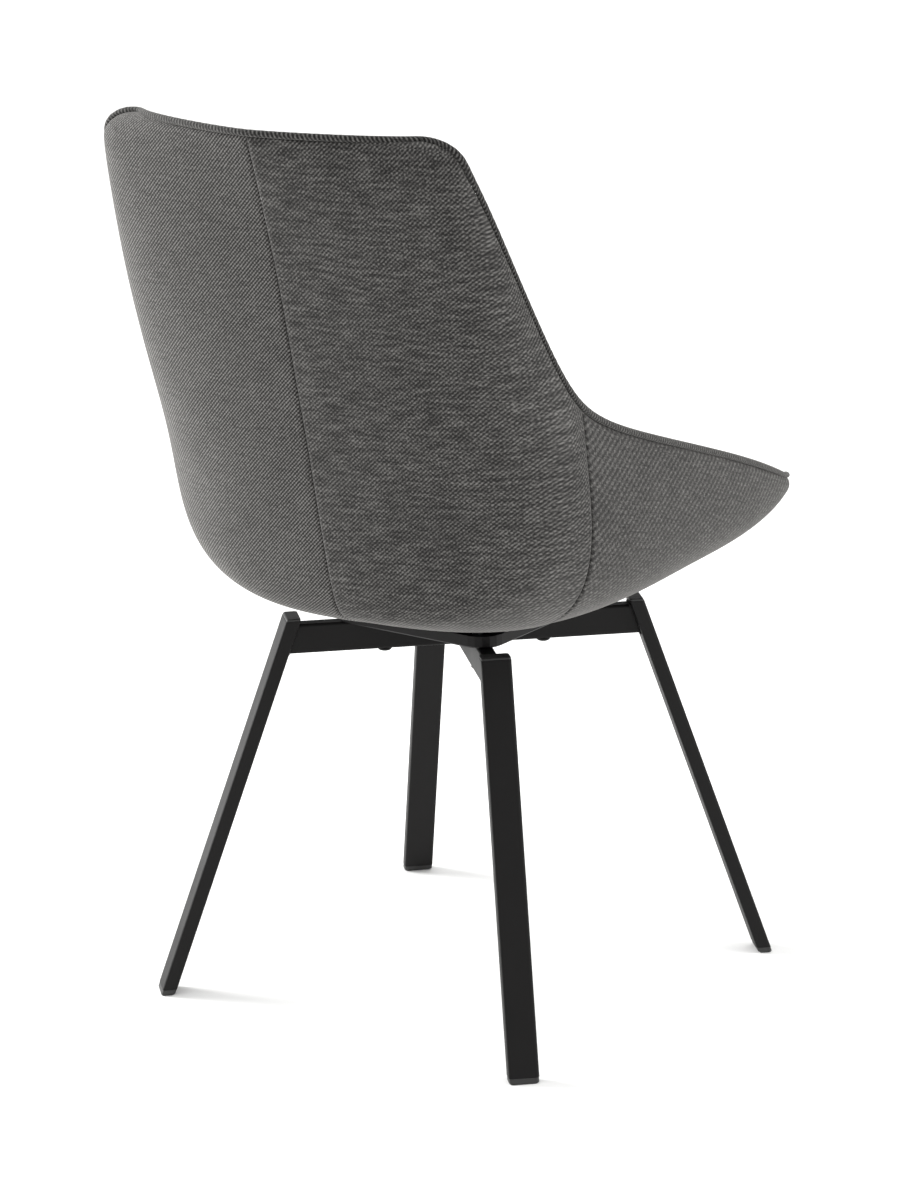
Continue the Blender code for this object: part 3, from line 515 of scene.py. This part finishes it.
def rimPath(count=420):
    # once round the rim: point on the cover's edge, direction beyond the edge, outward normal
    turn = 0.5 - 0.5 * np.cos(np.linspace(0, math.pi, count))
    across = np.linspace(-1, 1, count)
    runs = [(0 * across, across), (turn, 0 * turn + 1), (0 * across + 1, -across), (1 - turn, 0 * turn - 1)]
    row = np.concatenate([r[:-1] for r, v in runs])
    v = np.concatenate([v[:-1] for r, v in runs])
    u = bent(row, v)
    point = bucketPoint(u, v)
    along, aside, outward = directionsAt(row, v)
    atSide = np.abs(v) > 0.99999
    rise = np.where(atSide, np.clip(1 - u / bucket["topCornerEnd"], 0, 1), row < 0.5)
    fall = np.where(atSide, np.clip(1 - (1 - u) / bucket["frontCornerEnd"], 0, 1), row > 0.5)
    side = np.sqrt(np.clip(1 - np.maximum(rise, fall) ** 2, 0, 1)) * atSide
    beyond = unit(along * (fall - rise)[:, None] + aside * (np.sign(v) * side)[:, None])
    return point, beyond, outward, fall


def evenly(path, pace, *others):
    closed = np.concatenate((path, path[:1]))
    run = np.concatenate(([0.0], np.cumsum(np.linalg.norm(np.diff(closed, axis=0), axis=1))))
    count = int(run[-1] / pace)
    at = np.linspace(0, run[-1], count, endpoint=False)
    made = []
    for values in (path,) + others:
        ring = np.concatenate((values, values[:1]))
        made.append(np.stack([np.interp(at, run, ring[:, k]) for k in range(ring.shape[1])], axis=1))
    return at, made


def soften(values, times):
    for _ in range(times):
        values = 0.25 * np.roll(values, 1, axis=0) + 0.5 * values + 0.25 * np.roll(values, -1, axis=0)
    return values


edge, beyond, outward, fall = rimPath()
inward = welt["sunk"] - (welt["sunk"] + welt["proud"]) * fall
centreLine = edge + beyond * (welt["radius"] + layerGap) - outward * inward[:, None]
at, (line, aside, away) = evenly(centreLine, welt["pace"], beyond, outward)
line = soften(line, welt["softened"])
nearFront = smooth((welt["frontY"] - line[:, 1]) / welt["frontFade"])[:, None]
line = line + nearFront * (soften(line, welt["frontSoftened"]) - line)
aside = unit(soften(aside, welt["asideSoftened"]))
away = unit(away - aside * (away * aside).sum(axis=1, keepdims=True))
angle = np.linspace(0, 2 * math.pi, welt["sides"], endpoint=False)
nub = np.sin(at * 2 * math.pi / welt["nubStep"])
nub = 1 + welt["nub"] * nub[:, None] * np.sin(angle * 2)[None, :]
ring = np.cos(angle)[None, :, None] * aside[:, None] + np.sin(angle)[None, :, None] * away[:, None]
tube = line[:, None] + ring * welt["radius"] * nub[..., None]
count, sides = tube.shape[:2]
index = np.arange(count * sides).reshape(count, sides)
nextRing = np.roll(index, -1, axis=0)
tubeFaces = np.stack([index, np.roll(index, -1, 1), np.roll(nextRing, -1, 1), nextRing], -1).reshape(-1, 4)
alongTube = np.repeat(at[:, None], sides, 1)
aroundTube = np.repeat((angle * welt["radius"])[None, :], count, 0)
piping = meshPiece("edgePiping", tube.reshape(-1, 3), tubeFaces,
                   np.stack([alongTube, aroundTube], -1).reshape(-1, 2), weltCloth)
finishPiece(piping, "seat", ["edge_piping"])
print("piping run round the rim")


def strungTree(name):
    # small rounded pieces strung along a line, such as stitches or the ripples of a weld
    tree = bpy.data.node_groups.new(name, "GeometryNodeTree")
    face = tree.interface
    face.new_socket(name="Line", in_out="INPUT", socket_type="NodeSocketGeometry")
    sockets = {}
    for key in ("Spacing", "Length", "Thickness", "Unevenness"):
        sockets[key] = face.new_socket(name=key, in_out="INPUT", socket_type="NodeSocketFloat").identifier
    finish = face.new_socket(name="Finish", in_out="INPUT", socket_type="NodeSocketMaterial")
    sockets["Finish"] = finish.identifier
    face.new_socket(name="Pieces", in_out="OUTPUT", socket_type="NodeSocketGeometry")
    given = addNode(tree, "NodeGroupInput").outputs
    curve = addNode(tree, "GeometryNodeMeshToCurve", None, {"Mesh": given["Line"]})
    spots = addNode(tree, "GeometryNodeCurveToPoints", {"mode": "LENGTH"},
                    {"Curve": curve.outputs[0], "Length": given["Spacing"]})
    bead = addNode(tree, "GeometryNodeMeshUVSphere", {"Segments": 6, "Rings": 5, "Radius": 0.5})
    size = addNode(tree, "ShaderNodeCombineXYZ", None,
                   {"X": given["Thickness"], "Y": given["Thickness"], "Z": given["Length"]})
    shaped = addNode(tree, "GeometryNodeTransform", None,
                     {"Geometry": bead.outputs[0], "Scale": size.outputs[0]})
    least = addNode(tree, "ShaderNodeMath", {"operation": "SUBTRACT", 0: 1.0}, {1: given["Unevenness"]})
    chance = addNode(tree, "FunctionNodeRandomValue", {"data_type": "FLOAT", "Seed": 7},
                     {2: least.outputs[0]})
    chance.inputs[3].default_value = 1.0
    placed = addNode(tree, "GeometryNodeInstanceOnPoints", None,
                     {"Points": spots.outputs["Points"], "Instance": shaped.outputs[0],
                      "Rotation": spots.outputs["Rotation"], "Scale": chance.outputs[1]})
    real = addNode(tree, "GeometryNodeRealizeInstances", None, {"Geometry": placed.outputs[0]})
    painted = addNode(tree, "GeometryNodeSetMaterial", None,
                      {"Geometry": real.outputs[0], "Material": given["Finish"]})
    soft = addNode(tree, "GeometryNodeSetShadeSmooth", None, {"Geometry": painted.outputs[0]})
    addNode(tree, "NodeGroupOutput", None, {"Pieces": soft.outputs[0]})
    return tree, sockets


strung, strungSockets = strungTree("strungPieces")


def stringAlong(name, lines, sizes, material):
    values = {"Spacing": sizes["spacing"], "Length": sizes["length"], "Thickness": sizes["thick"],
              "Unevenness": sizes["uneven"]}
    points = []
    joins = []
    for line, closed in lines:
        start = len(points)
        points += [tuple(p) for p in line]
        joins += [(k, k + 1) for k in range(start, len(points) - 1)]
        if closed:
            joins.append((len(points) - 1, start))
    mesh = bpy.data.meshes.new(name + "Line")
    mesh.from_pydata(points, joins, [])
    guide = bpy.data.objects.new(name + "Line", mesh)
    bpy.context.scene.collection.objects.link(guide)
    modifier = guide.modifiers.new("strung", "NODES")
    modifier.node_group = strung
    for key, value in values.items():
        modifier[strungSockets[key]] = value
    modifier[strungSockets["Finish"]] = material
    seen = guide.evaluated_get(bpy.context.evaluated_depsgraph_get())
    made = bpy.data.objects.new(name, bpy.data.meshes.new_from_object(seen))
    made.data.name = name
    bpy.context.scene.collection.objects.link(made)
    bpy.data.objects.remove(guide)
    return made


# stitches sunk in the groove beside the piping: real sewing, and painted shade in the groove
nearEdge = edge - beyond * stitches["beside"] - outward * stitches["sunk"]
besideWelt = evenly(nearEdge, stitches["pace"])[1][0]
stitchRun = stringAlong("pipingStitches", [(besideWelt, True)], stitches, darkThreadAndGrooveShade)
finishPiece(stitchRun, "seat")


def seamLine(row, v, inward):
    rowGrid = np.asarray(row, dtype=float)
    vGrid = np.asarray(v, dtype=float)
    return bucketPoint(bent(rowGrid, vGrid), vGrid) - directionsAt(rowGrid, vGrid)[2] * inward


# stitches sunk along the seams: real sewing, and painted shade in the seams' creases
seamRows = np.linspace(0.004, bucket["seam"], 240)
crossColumns = np.linspace(-0.995, 0.995, 360)
seamRuns = [(seamLine(seamRows, 0 * seamRows, seamSewing["sunk"]), False),
            (seamLine(0 * crossColumns + bucket["seam"], crossColumns, seamSewing["sunk"]), False)]
seamThread = stringAlong("seamStitches", seamRuns, seamSewing, darkThreadAndGrooveShade)
finishPiece(seamThread, "seat")
print("stitches laid")


# The back and the seat are padded.
pads = {
    "pressure": 4.0, "frames": 20, "cap": 0.006, "stiffness": 18.0,
    "sink": 0.0030,             # how far below its final face a pad starts, because it swells
    "depth": 0.0122, "rimDepth": 0.0042,
    "roll": 0.0050, "rollWidth": 0.011,
    "rings": 4, "bulge": 0.0028, "creaseBulge": 0.0015,
    "rimAt": 0.93, "rimFade": 0.03,         # shares of the width and length where a pad gets thin
    "topAt": 0.030, "frontAt": 0.966, "endFade": 0.01,
    "sinkShare": 0.2, "rollShare": 0.35,
}
padGrid = {"columns": 97, "backRows": 78, "seatRows": 74, "creaseHalf": 0.003, "front": 0.990,
           "endRun": 0.02, "sideRun": 0.035, "runSteps": 6}


def padStart(rows, columns):
    row, v = np.meshgrid(rows, columns, indexing="ij")
    outerFace = surfaceAt(rows, columns)
    outward = directionsAt(row, v)[2]
    near = smooth((np.abs(v) - pads["rimAt"]) / pads["rimFade"])
    near = np.maximum(near, smooth((pads["topAt"] - row) / pads["endFade"]))
    near = np.maximum(near, smooth((row - pads["frontAt"]) / pads["endFade"]))
    depth = pads["depth"] + near * (pads["rimDepth"] - pads["depth"])
    lower = outerFace - outward * depth[..., None]
    upper = surfaceAt(rows, columns, inner=True)
    sunk = unit(lower - upper)
    room = np.linalg.norm(lower - upper, axis=-1)
    down = runLength(upper, 0)
    over = runLength(upper, 1)
    roll = np.zeros(row.shape)
    for distance in (down, down[-1:] - down, over, over[:, -1:] - over):
        roll = np.maximum(roll, rolledEdge(distance, pads["roll"], pads["rollWidth"]))
    drop = np.minimum(pads["sink"], room * pads["sinkShare"])
    drop = drop + np.minimum(roll, room * pads["rollShare"])
    return lower, upper + sunk * drop[..., None], over


def padShell(name, lower, upper, weave, material, creaseAtEnd):
    # two faces joined round their edge by a few rings that round the edge off
    rows, columns = lower.shape[:2]
    count = rows * columns
    index, quads, loop = gridFaces(rows, columns)
    loop = np.array(loop)
    k, j = loop // columns, loop % columns
    inside = np.clip(k, 1, rows - 2) * columns + np.clip(j, 1, columns - 2)
    low, high = lower.reshape(-1, 3), upper.reshape(-1, 3)
    beyond = unit(low[loop] + high[loop] - low[inside] - high[inside])
    atCrease = k == (rows - 1 if creaseAtEnd else 0)
    bulge = np.where(atCrease, pads["creaseBulge"], pads["bulge"])[:, None]
    shares = np.linspace(0, 1, pads["rings"] + 2)[1:-1]
    rings = [low[loop] * (1 - t) + high[loop] * t + beyond * bulge * math.sin(math.pi * t) for t in shares]
    points = np.concatenate([low, high] + rings)
    between = [2 * count + len(loop) * n + np.arange(len(loop)) for n in range(len(rings))]
    starts = [loop] + between + [loop + count]
    strips = [np.stack([a, np.roll(a, -1), np.roll(b, -1), b], axis=-1) for a, b in zip(starts, starts[1:])]
    faces = np.concatenate([quads, quads[:, ::-1] + count] + strips)
    flat = weave.reshape(-1, 2)
    threads = np.concatenate([flat, flat] + [flat[loop]] * len(rings))
    piece = meshPiece(name, points, faces, threads, material)
    free = index[1:-1, 1:-1].ravel() + count
    return piece, free


def simulatedPad(name, rows, columns, material, creaseAtEnd):
    lower, upper, over = padStart(rows, columns)
    middle = len(columns) // 2
    # the back's cloth has its rows level, the seat's has them along the chair
    if creaseAtEnd:
        threads = backWeave(upper, columns)
    else:
        threads = np.stack([over - over[:, middle:middle + 1], -upper[..., 1]], -1)
    pad, free = padShell(name, lower, upper, threads, material, creaseAtEnd)
    held = pad.vertex_groups.new(name="held")
    fixed = np.setdiff1d(np.arange(len(pad.data.vertices)), free)
    held.add([int(i) for i in fixed], 1.0, "REPLACE")
    rest = np.zeros(len(pad.data.vertices) * 3)
    pad.data.vertices.foreach_get("co", rest)
    rest = rest.reshape(-1, 3)
    puffed = puffedUp(pad, len(rest))
    moved = puffed - rest
    length = np.linalg.norm(moved, axis=1)
    print(name, "swelled by up to", round(float(length.max()) * 1000, 1), "mm")
    moved *= np.minimum(1.0, pads["cap"] / np.maximum(length, 1e-9))[:, None]
    pad.data.vertices.foreach_set("co", (rest + moved).ravel())
    pad.vertex_groups.clear()
    pad.data.update()
    finer = pad.modifiers.new("finer", "SUBSURF")
    finer.levels = 1
    finer.render_levels = 1
    return pad


def puffedUp(pad, count):
    scene = bpy.context.scene
    clothes = pad.modifiers.new("puff", "CLOTH")
    clothes.settings.use_pressure = True
    clothes.settings.uniform_pressure_force = pads["pressure"]
    clothes.settings.effector_weights.gravity = 0.0
    clothes.settings.tension_stiffness = pads["stiffness"]
    clothes.settings.compression_stiffness = pads["stiffness"]
    clothes.settings.vertex_group_mass = "held"
    clothes.settings.quality = 4
    clothes.collision_settings.use_collision = False
    clothes.point_cache.frame_start = 1
    clothes.point_cache.frame_end = pads["frames"]
    for step in range(1, pads["frames"] + 1):
        scene.frame_set(step)
    seen = pad.evaluated_get(bpy.context.evaluated_depsgraph_get())
    puffed = np.zeros(count * 3)
    seen.data.vertices.foreach_get("co", puffed)
    pad.modifiers.clear()
    scene.frame_set(1)
    return puffed.reshape(-1, 3)


def padSteps(low, high, count, run):
    return paced(low, high, padGrid[count], padGrid[run], padGrid["runSteps"], True, True)


padColumns = padSteps(-1.0, 1.0, "columns", "sideRun")
backRows = padSteps(0.0, bucket["crease"] - padGrid["creaseHalf"], "backRows", "endRun")
backPad = simulatedPad("backPad", backRows, padColumns, padCloth, True)
finishPiece(backPad, "seat", ["back_pad"])
print("back padded")
seatRows = padSteps(bucket["crease"] + padGrid["creaseHalf"], padGrid["front"], "seatRows", "endRun")
seatPad = simulatedPad("seatPad", seatRows, padColumns, padCloth, False)
finishPiece(seatPad, "seat", ["seat_pad"])
print("seat padded")


# The base keeps its shapes and gets its finishes here; only the welds are added.
finishes = {"leg_plug": blackNylon, "foot_glide": blackNylon, "bearing": blackNylon, "tray_nut": zinc,
            "seat_screw": zinc, "tee_nut": zinc, "swivel_spindle": zinc, "retaining": zinc,
            "seat_shell": birch}
for name, piece in nodes.items():
    finish = next((f for start, f in finishes.items() if name.startswith(start)), blackSteel)
    for holder in piece.material_slots:
        holder.material = finish

welds = {"spacing": 0.0011, "length": 0.0022, "thick": 0.0034, "uneven": 0.2}
legDepth = 0.0148       # a leg's depth in a level cut


def turnedExtent(name, turn):
    # a part's lowest and highest corner in the turned cross, measured from the swivel axis
    points = np.array([v.co for v in nodes[name].data.vertices])
    points[:, 1] -= swivelY
    c, s = math.cos(-turn), math.sin(-turn)
    along = points[:, 0] * c - points[:, 1] * s
    across = points[:, 0] * s + points[:, 1] * c
    spun = np.stack([along, across, points[:, 2]], 1)
    return spun.min(axis=0), spun.max(axis=0)


def placed(points, turn):
    c, s = math.cos(turn), math.sin(turn)
    return [(x * c - y * s, x * s + y * c + swivelY, z) for x, y, z in points]


low, high = turnedExtent("cross_arm_through", baseTurn)
armTop, armBottom, armSide = high[2], low[2], high[1]
legLow, legHigh = turnedExtent("leg_rear_left", baseTurn)
legLean = (legHigh[0] - legLow[0] - legDepth) / (legHigh[2] - legLow[2])
weldLines = []
for k in range(4):
    turn = baseTurn + k * math.pi / 2
    reach = high[0] if k % 2 == 0 else turnedExtent("cross_arm_left_half", baseTurn + math.pi / 2)[1][0]
    topReach = reach - legLean * (armTop - armBottom)
    ringPoints = [(reach, -armSide, armBottom), (topReach, -armSide, armTop), (topReach, armSide, armTop),
                  (reach, armSide, armBottom), (reach, -armSide, armBottom)]
    weldLines.append((placed(ringPoints, turn), False))
for k in range(4):
    turn = baseTurn + k * math.pi / 2
    weldLines.append((placed([(armSide, armSide, armBottom), (armSide, armSide, armTop)], turn), False))
weldBeads = stringAlong("weldBeads", weldLines, welds, weldedSteel)
finishPiece(weldBeads, "base")
print("base finished")


# Metres and degrees. The camera looks from this heading, measured from +X.
view = {"place": (-2.3457, 4.0644, 1.8186), "heading": 119.8276, "pitch": 16.753, "roll": -0.615,
        "lens": 149.566}
heading = math.radians(view["heading"])
pitch = math.radians(view["pitch"])
roll = math.radians(view["roll"])
look = Vector((-math.cos(heading) * math.cos(pitch), -math.sin(heading) * math.cos(pitch), -math.sin(pitch)))
levelRight = look.cross(Vector((0, 0, 1))).normalized()
levelUp = levelRight.cross(look)
right = math.cos(roll) * levelRight + math.sin(roll) * levelUp
up = -math.sin(roll) * levelRight + math.cos(roll) * levelUp
cameraData = bpy.data.cameras.new("camera")
cameraData.lens = view["lens"]
cameraData.sensor_width = 36.0
cameraData.clip_end = 100.0
bpy.context.scene.view_settings.view_transform = "Standard"
camera = bpy.data.objects.new("camera", cameraData)
matrix = Matrix((right, up, -look)).transposed().to_4x4()
matrix.translation = Vector(view["place"])
camera.matrix_world = matrix
bpy.context.scene.collection.objects.link(camera)
bpy.context.scene.camera = camera

studio = {"floor": "#f4f4f3", "sky": "#ffffff", "skyStrength": 0.42,
          "backdrop": 0.26, "backdropEdge": 3.0, "dome": 2.5, "domeSpread": 110}
lamps = {
    "leftSoftbox": {"place": (3.3, 0.6, 1.5), "aim": (0, 0.1, 0.6), "size": 1.5, "power": 165.0},
    "rightSoftbox": {"place": (-2.9, -1.1, 1.2), "aim": (0, -0.1, 0.5), "size": 1.6, "power": 40.0},
}
floorMesh = bpy.data.meshes.new("studioFloor")
floorMesh.from_pydata([(-40, -40, 0), (40, -40, 0), (40, 40, 0), (-40, 40, 0)], [], [(0, 1, 2, 3)])
floorPaint = newMaterial("mattStudioFloor", {
    "Base Color": linear(studio["floor"]), "Roughness": 0.9, "Specular IOR Level": 0.1})[0]
floorMesh.materials.append(floorPaint)
floor = bpy.data.objects.new("studioFloor", floorMesh)
bpy.context.scene.collection.objects.link(floor)

world = bpy.data.worlds.new("studioWorld")
world.use_nodes = True
world.node_tree.nodes["Background"].inputs["Color"].default_value = linear(studio["sky"])
# the sky is brighter just above the horizon, like a lit backdrop
direction = addNode(world.node_tree, "ShaderNodeTexCoord").outputs["Generated"]
height = addNode(world.node_tree, "ShaderNodeSeparateXYZ", None, {"Vector": direction}).outputs["Z"]
fadeOut = mathNode(world.node_tree, "MULTIPLY_ADD", height, -1 / studio["backdrop"], 1.0)
fadeOut = mathNode(world.node_tree, "MAXIMUM", fadeOut, 0.0)
glow = mathNode(world.node_tree, "MULTIPLY", fadeOut, studio["backdropEdge"])
glow = mathNode(world.node_tree, "MINIMUM", glow, 1.0)
glow = mathNode(world.node_tree, "MULTIPLY_ADD", glow, 1.0 - studio["skyStrength"], studio["skyStrength"])
world.node_tree.links.new(glow, world.node_tree.nodes["Background"].inputs["Strength"])
bpy.context.scene.world = world


def softbox(name, place, aim, size, power):
    data = bpy.data.lights.new(name, "AREA")
    data.shape = "DISK"
    data.size = size
    data.energy = power
    lamp = bpy.data.objects.new(name, data)
    lamp.location = place
    lamp.rotation_euler = (Vector(aim) - Vector(place)).to_track_quat("-Z", "Y").to_euler()
    lamp.visible_camera = False
    bpy.context.scene.collection.objects.link(lamp)


for name, lamp in lamps.items():
    softbox(name, **lamp)
domeData = bpy.data.lights.new("ceilingDiffuser", "SUN")
domeData.energy = studio["dome"]
domeData.angle = math.radians(studio["domeSpread"])
dome = bpy.data.objects.new("ceilingDiffuser", domeData)
dome.location = (0, 0, 4)
bpy.context.scene.collection.objects.link(dome)
print("camera, floor and light set")
